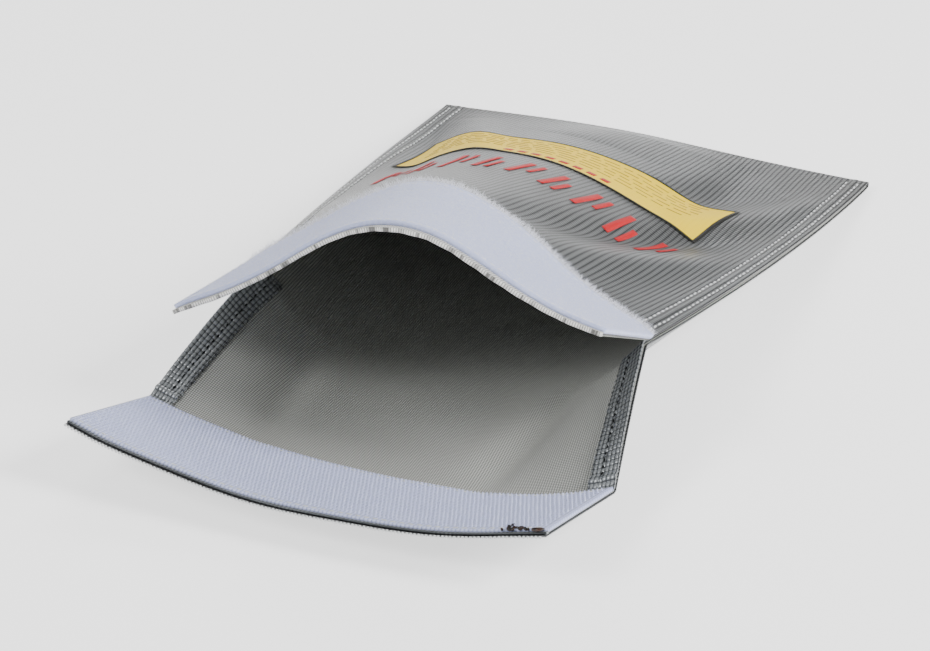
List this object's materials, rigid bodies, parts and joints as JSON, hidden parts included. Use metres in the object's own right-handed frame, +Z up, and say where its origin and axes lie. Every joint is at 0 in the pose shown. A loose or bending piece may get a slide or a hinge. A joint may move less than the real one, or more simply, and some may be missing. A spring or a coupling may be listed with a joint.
{
  "type": "lipo safe bag",
  "caption": "Fire-resistant woven glass cloth pouch for model batteries, open mouth, fold-over flap closed by hook and loop tape",
  "frame": {"origin": "on the flattened strip of the back cloth that the bag rests on, halfway along the pouch", "axes": "+X across the bag to its right side seen from above with the closed end away, +Y to the closed end, +Z up; the mouth faces -Y"},
  "size_m": [0.1855, 0.3253, 0.0889],
  "materials": {
    "silver_cloth": "satin",
    "glass_lining": "matte",
    "woven_edge": "matte",
    "loop_tape": "matte",
    "hook_tape": "satin",
    "thread": "satin",
    "yellow_print": "satin",
    "black_print": "satin",
    "red_print": "satin"
  },
  "bodies": {
    "pouch": {"front_cloth": "silver_cloth", "front_lining": "glass_lining", "back_cloth": "silver_cloth", "back_lining": "glass_lining", "apron_cloth": "silver_cloth", "apron_lining": "glass_lining", "closed_end_fold": "silver_cloth", "left_apron_hem": "silver_cloth", "right_apron_hem": "silver_cloth", "left_hem_stitching": "thread", "right_hem_stitching": "thread", "left_seam_stitching": "thread", "right_seam_stitching": "thread", "printed_panel": "yellow_print", "printed_border": "black_print", "printed_marks": "red_print"},
    "lip": {"lip_cloth": "silver_cloth", "lip_lining": "glass_lining", "mouth_hem": "woven_edge", "loop_tape": "loop_tape", "loop_tape_stitching": "thread"},
    "flap": {"flap_cloth": "silver_cloth", "flap_lining": "glass_lining", "flap_beading": "woven_edge", "hook_tape": "hook_tape", "hook_tape_stitching": "thread"}
  },
  "joints": [
    {"name": "flap_fold", "type": "hinge", "parent": "pouch", "child": "flap", "pos_m": [0, -0.163, 0.0107], "axis": [-0.9994, 0, -0.0357], "range_deg": [-5, 88]},
    {"name": "lip_bend", "type": "hinge", "parent": "pouch", "child": "lip", "pos_m": [0, -0.103, 0.0348], "axis": [0.9994, 0, 0.0355], "range_deg": [-4, 12]}
  ]
}
